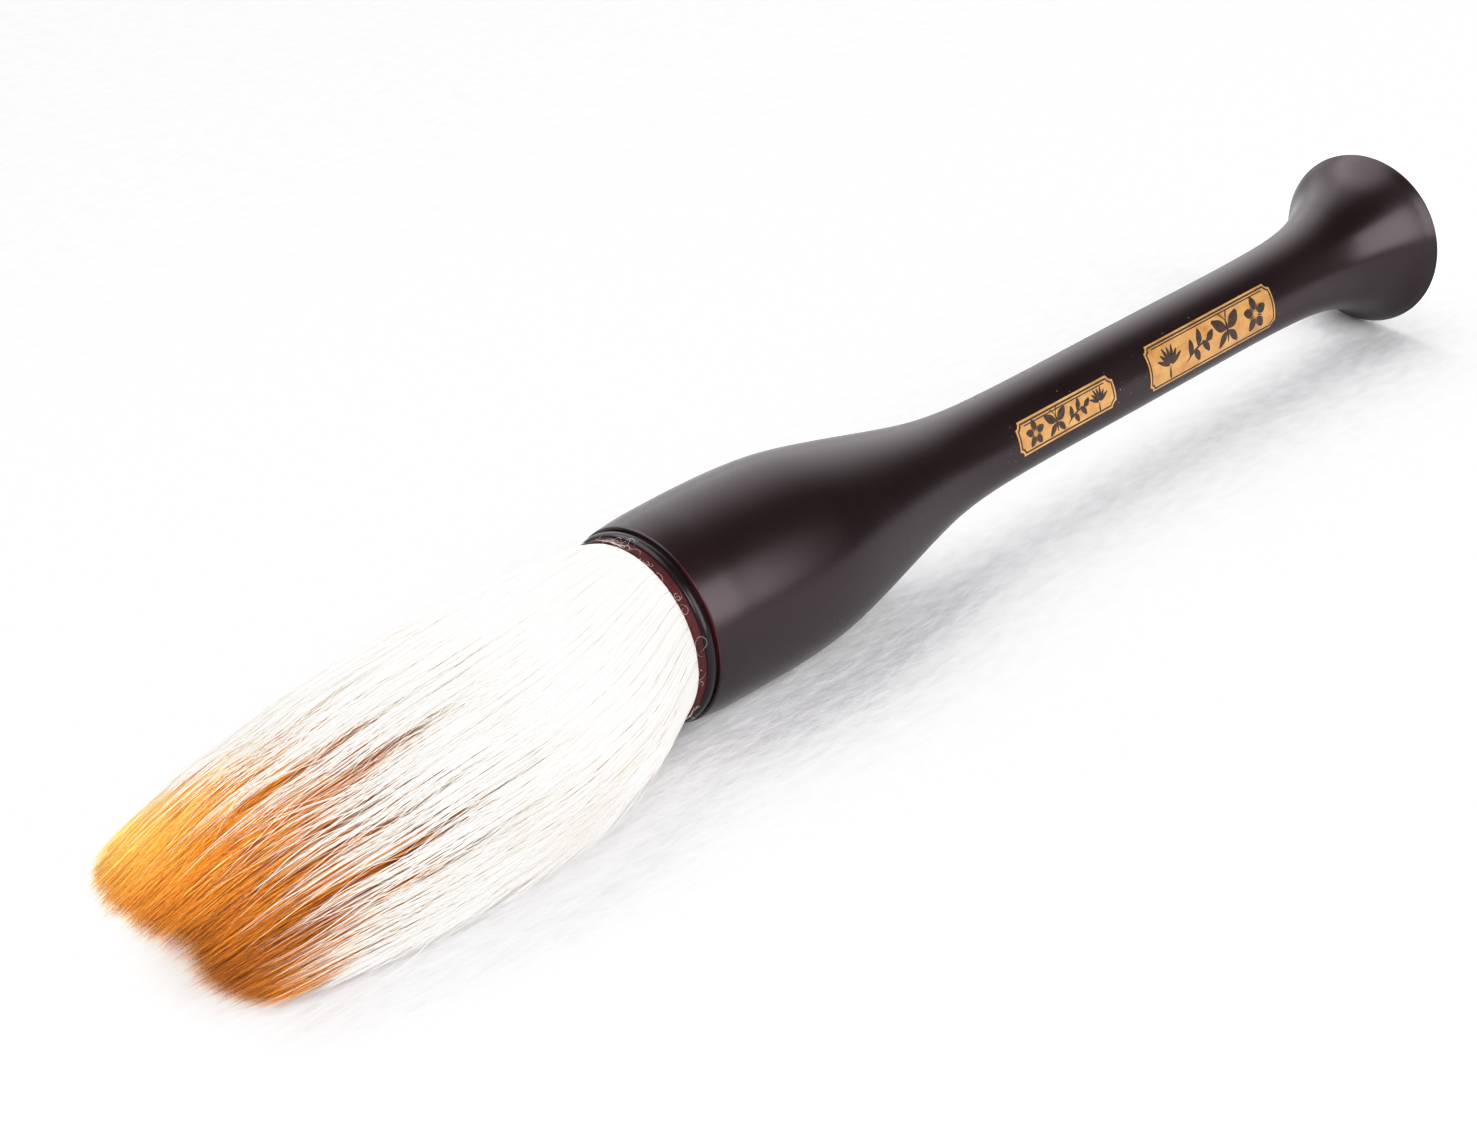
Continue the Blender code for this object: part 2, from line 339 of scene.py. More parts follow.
def grained(name, scale, stops, rough, detail=4.0, stretch=(1, 1, 1), harsh=0.55,
            relief=(0.4, 0.0002), extra=None):
    """A mottled material: one noise gives its colours, its roughness and its relief."""
    m = material(name)
    grain = m.noise(m.coordinates("Object"), scale, detail, stretch, harsh)
    if isinstance(rough, tuple):
        rough = m.scaled(grain, 0.3, 0.7, *rough)
    m.surface({"Base Color": m.ramp(grain, *stops), "Roughness": rough, **(extra or {})})
    if relief:
        m.surface({"Normal": m.bump(grain, *relief)})
    return m.owner


def lacquer(name, dark, light, rough, shine=0.5, rub=None):
    """Brown-black lacquer: faint mottling, fine turning marks, rubbed red at the cup's edge."""
    m = material(name)
    place = m.coordinates("Object")
    cloud = m.noise(place, 24.0, 4.0)
    grain = m.noise(place, 240.0, 4.0, stretch=(0.12, 1, 1))
    colour = m.mix("MULTIPLY", 1.0, m.ramp(cloud, (0.32, dark), (0.70, light)),
                   m.ramp(grain, (0.35, grey(0.80)), (0.65, grey(1.0))))
    dots = m.ramp(m.noise(place, 1700.0, 2.0), (0.76, grey(0.0)), (0.82, grey(0.4)))
    colour = m.mix("MIX", dots, colour, tuple(2.0 * c for c in light))
    if rub:
        edge_x = MOUTH_X + CUP_FRONT
        worn = m.scaled(m.axes(place)["X"], edge_x + RUB_REACH, edge_x + RUB_REACH / 2, 0.0, 1.0)
        patches = m.scaled(m.noise(place, 120.0), 0.38, 0.52, 0.35, 1.0)
        rise = AXIS_Z * RUB_HEADING[2]
        near = m.lobe(place, RUB_HEADING, rise + CUP_R * 0.72, rise + CUP_R * 0.92, 1.0)
        edge = m.combine("MULTIPLY", m.combine("MULTIPLY", worn, patches), near)
        colour = m.mix("MIX", edge, colour, rub)
    swell = m.bump(cloud, 0.07, 0.0005)
    m.surface({
        "Base Color": colour,
        "Roughness": m.scaled(cloud, 0.3, 0.7, rough - 0.03, rough + 0.04),
        "Specular IOR Level": shine,
        "Specular Tint": (1.0, 0.88, 0.94),
        "Normal": m.bump(m.noise(place, 2600.0, 2.0), 0.05, 0.00002, swell),
    })
    return m.owner


def maroon():
    """Matt red-brown lacquer with brush marks and rubbed spots."""
    stops = ((0.30, (0.026, 0.005, 0.006)), (0.50, (0.060, 0.008, 0.010)),
             (0.75, (0.100, 0.018, 0.020)))
    return grained("maroon_lacquer", 320.0, stops, (0.45, 0.75), detail=5.0, harsh=0.7,
                   relief=(0.5, 0.0002), extra={"Specular IOR Level": 0.22})


def gold():
    """Satin gold leaf with fine brushing and tarnish."""
    m = material("label_gold")
    place = m.coordinates("Object")
    brushed = m.noise(place, 900.0, 4.0, stretch=(0.10, 1, 1), roughness=0.7)
    leaf_tones = m.ramp(m.noise(place, 240.0, 4.0), (0.25, (0.41, 0.205, 0.066)),
                        (0.50, (0.53, 0.315, 0.120)), (0.80, (0.62, 0.41, 0.185)))
    lines = m.ramp(brushed, (0.30, grey(0.86)), (0.62, grey(1.0)))
    m.surface({
        "Base Color": m.mix("MULTIPLY", 1.0, leaf_tones, lines),
        "Metallic": 0.25,
        "Roughness": m.scaled(brushed, 0.3, 0.7, 0.30, 0.48),
        "Normal": m.bump(brushed, 0.25, 0.00008),
    })
    return m.owner


def hair_material(name, tones, root_shade_and_tips, rough, glow, shine, painted_glow):
    """Hair: a colour for each tone, changed from root to tip by a ramp whose darker root end is
    painted shade, with mottling along a strand.

    A thin hair also passes light from behind; a faint painted glow, emission in the hair's own
    colour, stands for it.
    """
    m = material(name)
    uv = m.add("ShaderNodeUVMap", uv_map=UV_NAME).outputs["UV"]
    axes = m.axes(uv)
    colour = m.mix("MULTIPLY", 1.0, m.ramp(axes["Y"], *tones), m.ramp(axes["X"], *root_shade_and_tips))
    mottle = m.ramp(m.noise(uv, 14.0, stretch=(1.5, 6, 1)), (0.3, grey(0.90)), (0.7, grey(1.0)))
    colour = m.mix("MULTIPLY", 1.0, colour, mottle)
    m.surface({
        "Base Color": colour,
        "Roughness": rough,
        "Specular IOR Level": shine,
        "Sheen Weight": glow,
        "Sheen Roughness": 0.4,
        # painted glow: the hair emits a little light in its own colour, though it is no lamp
        "Emission Color": colour,
        "Emission Strength": painted_glow,
    })
    return m.owner


def fibre_bed():
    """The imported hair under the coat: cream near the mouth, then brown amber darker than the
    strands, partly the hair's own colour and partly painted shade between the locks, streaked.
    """
    m = material("packed_hair")
    uv = m.add("ShaderNodeUVMap", uv_map=UV_NAME).outputs["UV"]
    streak = m.noise(uv, 90.0, 4.0, stretch=(0.03, 1, 1), roughness=0.7)
    cream = m.ramp(streak, (0.30, (0.80, 0.72, 0.62)), (0.60, (0.95, 0.92, 0.87)))
    # darker than the amber strands: painted shade deep between the locks
    amber = m.ramp(streak, (0.30, (0.10, 0.022, 0.004)), (0.55, (0.30, 0.075, 0.008)),
                   (0.80, (0.60, 0.19, 0.018)))
    m.surface({
        "Base Color": m.mix("MIX", m.scaled(m.axes(uv)["X"], 0.42, 0.66, 0.0, 1.0), cream, amber),
        "Roughness": 0.7,
        "Specular IOR Level": 0.2,
        "Normal": m.bump(streak, 0.8, 0.0004),
    })
    return m.owner


def dress(piece, made):
    piece.data.materials.clear()
    piece.data.materials.append(made)


# ---------------- handle

def cad_outline():
    """The CAD's stations and radii from the cup's front edge to the tail's rim."""
    rings = {}
    for node in ("hair_cup", "grip_shaft", "tail_flare"):
        for v in frame["nodes"][node].data.vertices:
            radius = math.hypot(v.co.y, v.co.z - AXIS_Z)
            outward = v.normal.y * v.co.y + v.normal.z * (v.co.z - AXIS_Z)
            if radius > GRIP_MIN_R and outward > 0.2 * radius:
                station = round(v.co.x - MOUTH_X, 5)
                rings[station] = max(rings.get(station, 0.0), radius)
    stations = np.array(sorted(rings))
    radii = np.array([rings[s] for s in stations])
    rim = np.argmax(np.where(stations > TAIL_END / 2, radii, 0.0))
    stations, radii = stations[:rim + 1], radii[:rim + 1]
    keep = np.concatenate([[True], np.diff(stations) > SMOOTH_STEP])
    return stations[keep], radii[keep]


HANDLE_STATIONS, HANDLE_RADII = cad_outline()


def arc(middle, reach, first, last, steps):
    """Points of an ellipse about middle, by their angle from straight out."""
    return [(middle[0] + reach[0] * math.sin(a), middle[1] + reach[1] * math.cos(a))
            for a in np.linspace(first, last, steps)]


def even_outline():
    """The outline with the kinks between its stations smoothed away, its ends kept."""
    fine = np.arange(HANDLE_STATIONS[0], HANDLE_STATIONS[-1], SMOOTH_STEP)
    raw = smooth_curve(HANDLE_STATIONS, HANDLE_RADII, fine)
    reach = int(3 * SMOOTH_REACH / SMOOTH_STEP)
    bell = np.exp(-0.5 * (np.arange(-reach, reach + 1) * SMOOTH_STEP / SMOOTH_REACH) ** 2)
    padded = np.pad(raw, reach, mode="reflect", reflect_type="odd")
    soft = np.convolve(padded, bell / bell.sum(), "valid")
    near_end = np.minimum(fine - fine[0], fine[-1] - fine)
    keep = smoothstep(0.004, 0.014, near_end)
    return fine, raw + (soft - raw) * keep


FINE_STATIONS, FINE_RADII = even_outline()


def handle_r(station):
    return np.interp(station, FINE_STATIONS, FINE_RADII)


def on_handle(piece, made, slot, *nodes):
    """Dress a piece, let it stand for its CAD nodes, and let it ride the handle."""
    dress(piece, made)
    if nodes:
        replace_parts(piece, *nodes)
    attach(piece, "handle")


def handle_skin():
    """One fine lacquered surface over cup, grip and tail, with the cup's bore left open."""
    first, last, rim_r = HANDLE_STATIONS[0] + EDGE_ROUND, HANDLE_STATIONS[-1], HANDLE_RADII[-1]
    fine = np.linspace(first, last, int((last - first) / SKIN_STEP))
    outer = list(zip(fine, handle_r(fine)))
    edge = arc((CUP_FRONT + EDGE_ROUND, outer[0][1] - EDGE_ROUND), (-EDGE_ROUND, EDGE_ROUND),
               UPRIGHT, 0, 6)[:-1]
    turn_r = TAIL_END - last
    rim_arc = arc((last, rim_r - turn_r), (turn_r, turn_r), 0, UPRIGHT, 10)[1:]
    bore_r = ROOT_R + 2 * SLEEVE_GAP
    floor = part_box("rosin_plug")[1][0] - MOUTH_X + SLEEVE_GAP
    inside = [(floor, 0.0), (floor, bore_r), (CUP_FRONT, bore_r)]
    end_face = [(TAIL_END, rim_r * k / 12) for k in range(11, -1, -1)]
    made = lacquer("black_lacquer", (0.0085, 0.0034, 0.0039), (0.0150, 0.0054, 0.0062), 0.28,
                   rub=(0.060, 0.006, 0.009))
    piece = turned("handle_skin", inside + edge + outer + rim_arc + end_face)
    on_handle(piece, made, "black_lacquer", "hair_cup", "grip_shaft", "tail_flare")


def bead_ring():
    """The smooth rounded ring at the mouth, with a fine groove behind it."""
    inner, foot_r, back_r = LIP_R - 0.0006, LIP_R - 0.0001, RING_R - 0.00045
    front, back = RING_FRONT - 0.0002, CUP_FRONT + 0.0001
    crest = (front + RING_END) / 2
    face = arc((crest, foot_r), (front - crest, RING_R - foot_r), UPRIGHT - 0.03, 0, 14)
    fall = arc((crest, back_r), (RING_END - crest, RING_R - back_r), 0, UPRIGHT, 10)[1:]
    profile = [(front, inner)] + face + fall + [(back, back_r), (back, inner)]
    made = lacquer("ring_lacquer", (0.0060, 0.0040, 0.0044), (0.0095, 0.0056, 0.0062), 0.20, 0.36)
    on_handle(turned("mouth_bead", profile, closed=True), made, "ring_lacquer", "bead_ring")


def mouth_lip():
    """The maroon sleeve, whose rounded lip shows between the bead and the hair."""
    inner, under, back = ROOT_R + SLEEVE_GAP / 2, LIP_R - 0.0007, 0.0130
    edge = 0.0004
    profile = [(0.0, inner)] + arc((edge, LIP_R - edge), (-edge, edge), UPRIGHT, 0, 7)
    profile += [(s, LIP_R + 0.00002) for s in (0.0008, 0.0012, RING_FRONT)]
    profile += [(RING_FRONT, under), (back, under), (back, inner)]
    piece = turned("mouth_lip", profile, closed=True)
    uneven = normal(0, 0.00003, len(piece.data.vertices))
    for v, push in zip(piece.data.vertices, uneven):
        v.co.x += push
    on_handle(piece, maroon(), "maroon_lacquer", "lining_sleeve")


handle_skin()
bead_ring()
mouth_lip()

# ---------------- labels

LABEL_SINK, LABEL_RISE = 0.00002, 0.00010     # a label's underside and face, from the skin
LINE_RISE, LAYER_RISE = 0.000135, 0.000002    # top of the printed lines, and of each layer
NOTCH_R = 0.0013
BORDER_INSET, BORDER_HALF = 0.00066, 0.00018
LABEL_ROWS, LABEL_COLUMNS = 72, 96
LABEL_SHARP = 40.0                            # degrees
UPPER_LINE_GAP, UPPER_LINE_HALF = 0.00062, 0.00012
LINE_END_GAP, ORNAMENT_MARGIN = 0.0028, 0.0040
SPECKS, SPECK_RISE = 16, 0.00004              # crumbs of gilding round one label


class Label:
    """Places on a curved label: u along the brush and v round it, from the label's middle."""

    def __init__(self, node):
        low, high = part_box(node)
        corners = [v.co for v in frame["nodes"][node].data.vertices]
        angles = [math.atan2(c.z - AXIS_Z, -c.y) for c in corners]
        self.middle = (low[0] + high[0]) / 2 - MOUTH_X
        self.length = high[0] - low[0]
        self.turn = (min(angles) + max(angles)) / 2
        self.radius = handle_r(np.array([self.middle]))[0]
        self.width = (max(angles) - min(angles)) * self.radius

    def place(self, u, v, rise):
        station = self.middle + u
        angle = self.turn + v / self.radius
        r = handle_r(station) + rise
        return np.stack([
            station + MOUTH_X, -r * np.cos(angle), AXIS_Z + r * np.sin(angle),
        ], axis=-1)


def notched(length, width, inset):
    """A rectangle with a concave notch at each corner, drawn in by an inset."""
    reach = NOTCH_R + inset
    start = math.asin(inset / reach)
    sweep = np.linspace(start, UPRIGHT - start, 9)[::-1]
    corner = np.stack([length / 2 - reach * np.cos(sweep), width / 2 - reach * np.sin(sweep)], 1)
    return np.concatenate([
        corner, corner[::-1] * (-1, 1), corner * (-1, -1), corner[::-1] * (1, -1),
    ])


def label_plate(label, node, made, rim):
    """The gold plate of a label: a thin curved sheet with notched corners."""
    v = np.linspace(-label.width / 2, label.width / 2, LABEL_ROWS)
    near = np.clip(label.width / 2 - np.abs(v), 0, NOTCH_R)
    half = label.length / 2 - np.sqrt(NOTCH_R**2 - near**2)
    u = half[:, None] * np.linspace(-1, 1, LABEL_COLUMNS)
    v = np.broadcast_to(v[:, None], u.shape)
    top = label.place(u, v, LABEL_RISE).reshape(-1, 3)
    under = label.place(u, v, -LABEL_SINK).reshape(-1, 3)
    count = len(top)
    ids = np.arange(count).reshape(LABEL_ROWS, LABEL_COLUMNS)
    face = np.stack([ids[:-1, :-1], ids[:-1, 1:], ids[1:, 1:], ids[1:, :-1]], -1).reshape(-1, 4)
    loop = np.concatenate([ids[0, :-1], ids[:-1, -1], ids[-1, :0:-1], ids[:0:-1, 0]])
    after = np.roll(loop, -1)
    walls = np.stack([loop, loop + count, after + count, after], 1)
    quads = np.concatenate([face, face[:, ::-1] + count, walls])
    piece = make_mesh(f"{node}_plate", np.concatenate([top, under]), quads)
    settle(piece, sharp=LABEL_SHARP)
    on_handle(piece, made, "gold", node)
    piece.data.materials.append(rim)
    slots = np.zeros(len(quads), np.int32)
    slots[-len(walls):] = 1
    piece.data.polygons.foreach_set("material_index", slots)


def ribbon(label, path, half, closed, rise):
    """Points and quads of a flat stroke along a path on a label, with four points across."""
    if closed:
        along = np.roll(path, -1, axis=0) - np.roll(path, 1, axis=0)
    else:
        along = np.gradient(path, axis=0)
    along /= np.linalg.norm(along, axis=1, keepdims=True)
    side = np.stack([-along[:, 1], along[:, 0]], 1) * np.broadcast_to(half, len(path))[:, None]
    edges = [label.place(*edge.T, LABEL_RISE - LABEL_SINK) for edge in (path + side, path - side)]
    top = [label.place(*(path + side * share).T, rise) for share in (1, 1 / 3, -1 / 3, -1)]
    rings = np.stack([edges[0], *top, edges[1]], axis=1).reshape(-1, 3)
    quads, _ = ring_faces(np.zeros(len(path)), 6, closed)
    if not closed:
        caps = [np.array(corners) + end for end in (0, len(rings) - 6)
                for corners in ((0, 1, 4, 5), (1, 2, 3, 4))]
        quads = np.concatenate([quads, caps])
    return rings, quads


def stroke(points, widest, lean=0.5, steps=14):
    """A stroke from the first point to the third, bent by the second, thickest at lean."""
    a, b, c = np.asarray(points, float)
    at = np.linspace(0, 1, steps)
    t = at[:, None]
    swell = np.where(at < lean, at / lean, (1 - at) / (1 - lean))
    return (1 - t)**2 * a + 2 * t * (1 - t) * b + t**2 * c, widest * (
        0.25 + 0.75 * np.sin(swell * UPRIGHT))


def leaf(foot, tip, bow, widest):
    foot, tip = np.array(foot), np.array(tip)
    across = np.array((tip[1] - foot[1], foot[0] - tip[0]))
    return stroke([foot, (foot + tip) / 2 + bow * across, tip], widest, lean=0.45)


def sprig():
    """A curved twig with full leaves on alternate sides."""
    yield stroke([(-0.62, -0.30), (0.0, 0.12), (0.60, -0.02)], 0.030, lean=0.3)
    for foot, tip, bow in (
        ((-0.44, -0.17), (-0.34, 0.26), 0.16), ((-0.26, -0.07), (-0.02, -0.42), -0.16),
        ((-0.06, 0.01), (0.12, 0.42), 0.16), ((0.14, 0.04), (0.42, -0.30), -0.16),
        ((0.34, 0.02), (0.68, 0.22), 0.14),
    ):
        yield leaf(foot, tip, bow, 0.110)


def blossom():
    """Five full petals with stamens between them."""
    for k in range(5):
        a = math.tau * k / 5 + 0.3
        out = np.array((math.cos(a), math.sin(a)))
        yield leaf(out * 0.12, out * 0.50, 0.0, 0.135)
        b = a + math.pi / 5
        out = np.array((math.cos(b), math.sin(b)))
        yield leaf(out * 0.08, out * 0.30, 0.0, 0.022)


def butterfly():
    """Two pairs of rounded wings and feelers about a slim body."""
    for side in (-1, 1):
        yield leaf((side * 0.05, 0.05), (side * 0.56, 0.40), side * 0.10, 0.165)
        yield leaf((side * 0.05, -0.05), (side * 0.40, -0.42), side * -0.08, 0.120)
        yield stroke([(side * 0.02, 0.26), (side * 0.09, 0.44), (side * 0.22, 0.52)], 0.020)
    yield stroke([(0.0, -0.36), (0.0, 0.0), (0.0, 0.30)], 0.050)


def fan_leaf():
    """A fan-shaped leaf: a stalk and ribs that spread from it."""
    yield stroke([(0.04, -0.52), (-0.06, -0.30), (0.0, -0.14)], 0.035, lean=0.3)
    for k in range(7):
        a = math.radians(90 + 21 * (k - 3))
        out = np.array((math.cos(a), math.sin(a)))
        foot = np.array((0.0, -0.14)) + out * 0.07
        yield leaf(foot, foot + out * (0.50 - 0.05 * (k % 2)), 0.0, 0.060)


ORNAMENTS = (sprig, blossom, butterfly, fan_leaf)


def drawn_between(path, step=0.0004):
    """The same closed path with more points on its long sides."""
    out = []
    for a, b in zip(path, np.roll(path, -1, axis=0)):
        count = max(1, int(np.linalg.norm(b - a) / step))
        out += [a + (b - a) * k / count for k in range(count)]
    return np.array(out)


def raised_strokes(name, strokes, made):
    """One piece from flat strokes, each a label, path, half width, closed or not, and rise."""
    points, quads, count = [], [], 0
    for stroke_parts in strokes:
        rings, faces = ribbon(*stroke_parts)
        points.append(rings)
        quads.append(faces + count)
        count += len(rings)
    piece = make_mesh(name, np.concatenate(points), np.concatenate(quads))
    settle(piece, sharp=LABEL_SHARP)
    on_handle(piece, made, "gold")


def label_lines(label, order, size):
    """Border, upper line and ornaments; crossing strokes differ a little in height."""
    border = drawn_between(notched(label.length, label.width, BORDER_INSET))
    span = label.length / 2 - LINE_END_GAP
    upper = np.full(90, label.width / 2 - BORDER_INSET - UPPER_LINE_GAP)
    upper = np.stack([np.linspace(-span, span, 90), upper], 1)
    parts = [(border, BORDER_HALF), (upper, UPPER_LINE_HALF)]
    step = (label.length - ORNAMENT_MARGIN) / len(order)
    for k, kind in enumerate(order):
        at = (k - (len(order) - 1) / 2) * step
        parts += [(path * size + (at, -0.0001), half * size) for path, half in ORNAMENTS[kind]()]
    for layer, (path, half) in enumerate(parts):
        yield label, path, half, layer == 0, LINE_RISE + LAYER_RISE * (layer % 5)


def gilding_specks(label):
    """Crumbs and short drags of gilding left on the lacquer round a label."""
    for _ in range(SPECKS):
        side = rng.choice([-1, 1])
        u, v = uniform(-0.5, 0.5) * label.length, uniform(-0.5, 0.5) * label.width
        if uniform() < 0.5:
            v = side * (label.width / 2 + abs(normal(0, 0.0006)) + 0.0002)
        else:
            u = side * (label.length / 2 + abs(normal(0, 0.0020)) + 0.0003)
        heading, reach = uniform(0, math.tau), uniform(0.00006, 0.0004)
        along, across = reach * math.cos(heading), reach * math.sin(heading)
        bow = normal(0, 0.00012)
        points = [(u, v), (u + along / 2 + bow, v + across / 2), (u + along, v + across)]
        path, half = stroke(points, uniform(0.00003, 0.00008), steps=6)
        yield label, path, half, False, SPECK_RISE


def labels():
    """Both labels and the gilding round them."""
    foil = gold()
    ink_tones = (0.35, (0.018, 0.009, 0.006)), (0.75, (0.090, 0.040, 0.022))
    rim_tones = (0.3, (0.24, 0.085, 0.02)), (0.7, (0.62, 0.30, 0.09))
    dark = grained("label_ink", 1600.0, ink_tones, (0.35, 0.6), relief=None)
    rim = grained("label_rim", 900.0, rim_tones, (0.45, 0.60))
    specks = []
    for node, order, size in (
        ("label_large", (3, 0, 2, 1), 0.0080), ("label_small", (1, 2, 0, 3), 0.0058),
    ):
        label = Label(node)
        label_plate(label, node, foil, rim)
        raised_strokes(f"{node}_lines", label_lines(label, order, size), dark)
        specks += gilding_specks(label)
    raised_strokes("gilding_specks", specks, foil)


labels()

# ---------------- tuft

BUNDLE_R = ROOT_R - 0.0002      # radius of the bundle inside the sleeve
FLOOR_CLEAR = 0.0001
FIRST_STATIONS = (0.0030, 0.0008, -0.0001, -0.0009, -0.0026)
# The way the hair lies: station, half width, half height, height of its middle.  Near the tip
# it draws in less than the tuft's outline does, because the outer hairs end sooner.
FLOW_TAIL = (
    (-0.078, 0.0270, 0.0143, 0.0146), (-0.094, 0.0238, 0.0122, 0.0130),
    (-0.1060, 0.0206, 0.0096, 0.0112), (-0.1120, 0.0194, 0.0084, 0.0104),
)
MOUTH_SWELL = (
    (-0.0026, 0.0195, 0.0184), (-0.0009, 0.0186, 0.0181), (-0.0001, 0.0181, 0.0179),
    (0.0008, BUNDLE_R + 0.0001, BUNDLE_R + 0.0001), (0.0030, BUNDLE_R, BUNDLE_R),
)
LEAN = 0.0022                   # the loose side sags towards -Y


def tuft_flow():
    """Stations with half width, half height and middle height of the hair's way."""
    rings = {}
    for node in ("cover_hair", "core_hair"):
        for v in frame["nodes"][node].data.vertices:
            rings.setdefault(round(v.co.x - MOUTH_X, 4), []).append((v.co.y, v.co.z))
    rows = list(FLOW_TAIL)
    for station in sorted(rings):
        if FLOW_TAIL[0][0] + 0.001 < station < -0.004:
            low, high = np.min(rings[station], axis=0), np.max(rings[station], axis=0)
            rows.append((station, (high[0] - low[0]) / 2, (high[1] - low[1]) / 2,
                         (high[1] + low[1]) / 2))
    for station, width, height in MOUTH_SWELL:
        rows.append((station, width, height, AXIS_Z))
    return np.array(sorted(rows))


FLOW = tuft_flow()


def tuft_point(station, spread, angle):
    """Points of the tuft: station, share of the way out from its middle, angle about it."""
    width, height, middle = (smooth_curve(FLOW[:, 0], FLOW[:, k], station) for k in (1, 2, 3))
    lean = LEAN * smoothstep(-0.010, -0.050, station)
    y = width * spread * np.cos(angle) - lean * np.clip(0.5 - np.cos(angle), 0, 1)
    z = middle + height * spread * np.sin(angle)
    return np.stack([station + MOUTH_X, y, np.maximum(z, FLOOR_CLEAR)], axis=-1)


def strand_stations(start, end, rings=12):
    """Stations of every strand's rings, and their share of its length."""
    share = np.broadcast_to(np.linspace(0, 1, rings + 1), (len(end), rings + 1))
    return start[:, None] + (end - start)[:, None] * share, share


def from_mouth(end, rings):
    """Stations of strands that come out of the mouth, with their swell at its edge."""
    first = np.broadcast_to(np.array(FIRST_STATIONS), (len(end), len(FIRST_STATIONS)))
    rest = np.linspace(0, 1, rings + 2 - len(FIRST_STATIONS))[1:] ** 1.15
    last = FIRST_STATIONS[-1]
    after = last + (end - last)[:, None] * rest[None]
    stations = np.concatenate([first, after], axis=1)
    return stations, np.clip(stations / end[:, None], 0.0, 1.0)


def grow(size, low, high, place):
    """A value for each strand that sets in along it, between two places."""
    return size[:, None] * smoothstep(low, high, place)


def wander(count, share, reach, cycles):
    """A slow sideways drift for each strand, growing towards its tip."""
    phase = uniform(0, math.tau, (count, 1))
    rate = uniform(0.4, 1.0, (count, 1)) * cycles
    size = normal(0, reach, (count, 1))
    return size * (np.sin(math.tau * rate * share + phase) - np.sin(phase)) * share


def uneven_angles(count, jitter):
    """Angles round the tuft, evenly spaced and then shifted by a share of their spacing."""
    step = math.tau / count
    return np.sort((np.arange(count) + uniform(-jitter, jitter, count)) * step % math.tau)


def nearest_lock(angle, spread, lock_angle, lock_spread, weight):
    """The lock each strand belongs to, and the turn that takes the strand to it."""
    gap = (angle[:, None] - lock_angle[None] + math.pi) % math.tau - math.pi
    own = np.argmin(np.abs(gap) + weight * np.abs(spread[:, None] - lock_spread[None]), axis=1)
    return own, -gap[np.arange(len(angle)), own]


def taper(share, thick, point_from):
    """Radius of a strand: even, then thinning to its tip."""
    return thick[:, None] * (1 - 0.72 * smoothstep(point_from, 1.0, share[:, :-1]))


# How much further the white coat reaches, by angle round the tuft: 90 is up, 180 is -Y.
COAT_ANGLES = (0, 35, 60, 90, 120, 150, 175, 195, 225, 270, 320, 360)
COAT_REACH = (-0.002, -0.001, 0.000, 0.000, 0.003, 0.001, 0.004, 0.006, 0.004, 0.001, -0.002,
              -0.002)
CREAM_TURN = 0.20               # the coat is creamiest a little under its near side
# Share of the coat's hairs that still last at a station.
LASTING = (0.0, 0.026, 0.084, 0.165, 0.29, 0.42, 0.66, 1.0)
LASTING_STATIONS = (-0.100, -0.096, -0.090, -0.080, -0.064, -0.055, -0.046, -0.034)
# Angles, widths and starts of the partings that show the core between the locks.
PARTINGS = (
    (52, 2.6, -0.070), (67, 2.2, -0.060), (76, 1.4, -0.072), (88, 3.2, -0.059),
    (103, 4.4, -0.050), (115, 1.6, -0.070), (127, 2.8, -0.064), (143, 3.4, -0.060),
    (158, 4.0, -0.057), (172, 2.0, -0.073), (222, 3.0, -0.065), (248, 2.5, -0.070),
    (281, 3.0, -0.060), (309, 2.6, -0.066), (338, 3.0, -0.070), (12, 2.4, -0.066),
)
# Where the tuft ends, by the place across it: a blunt edge with a cleft, in two lobes, and
# the hairs that lie higher reach further.
END_ACROSS = (-0.030, -0.022, -0.0185, -0.0139, -0.0106, -0.0060, -0.0014, 0.0040, 0.0084,
              0.0125, 0.0170, 0.0257, 0.0317, 0.0400)
END_STATIONS = (-0.074, -0.081, -0.0850, -0.0905, -0.0951, -0.0969, -0.0972, -0.0956, -0.0935,
                -0.0950, -0.0962, -0.0966, -0.0958, -0.0905)
END_RAKE, END_SKEW = 0.66, 1.1
PIECE_TRIANGLES = 190000        # the most triangles in one piece of hair
COAT_RINGS, CORE_RINGS = 14, 10
FUZZ_POINTS, FUZZ_R = 37, 0.000020


def tip_end(spread, angle):
    """The furthest station a strand may reach."""
    at = tuft_point(np.full(len(angle), -0.100), spread, angle)
    across = at[:, 1] + END_SKEW * at[:, 2]
    return np.interp(across, END_ACROSS, END_STATIONS) - END_RAKE * at[:, 2]


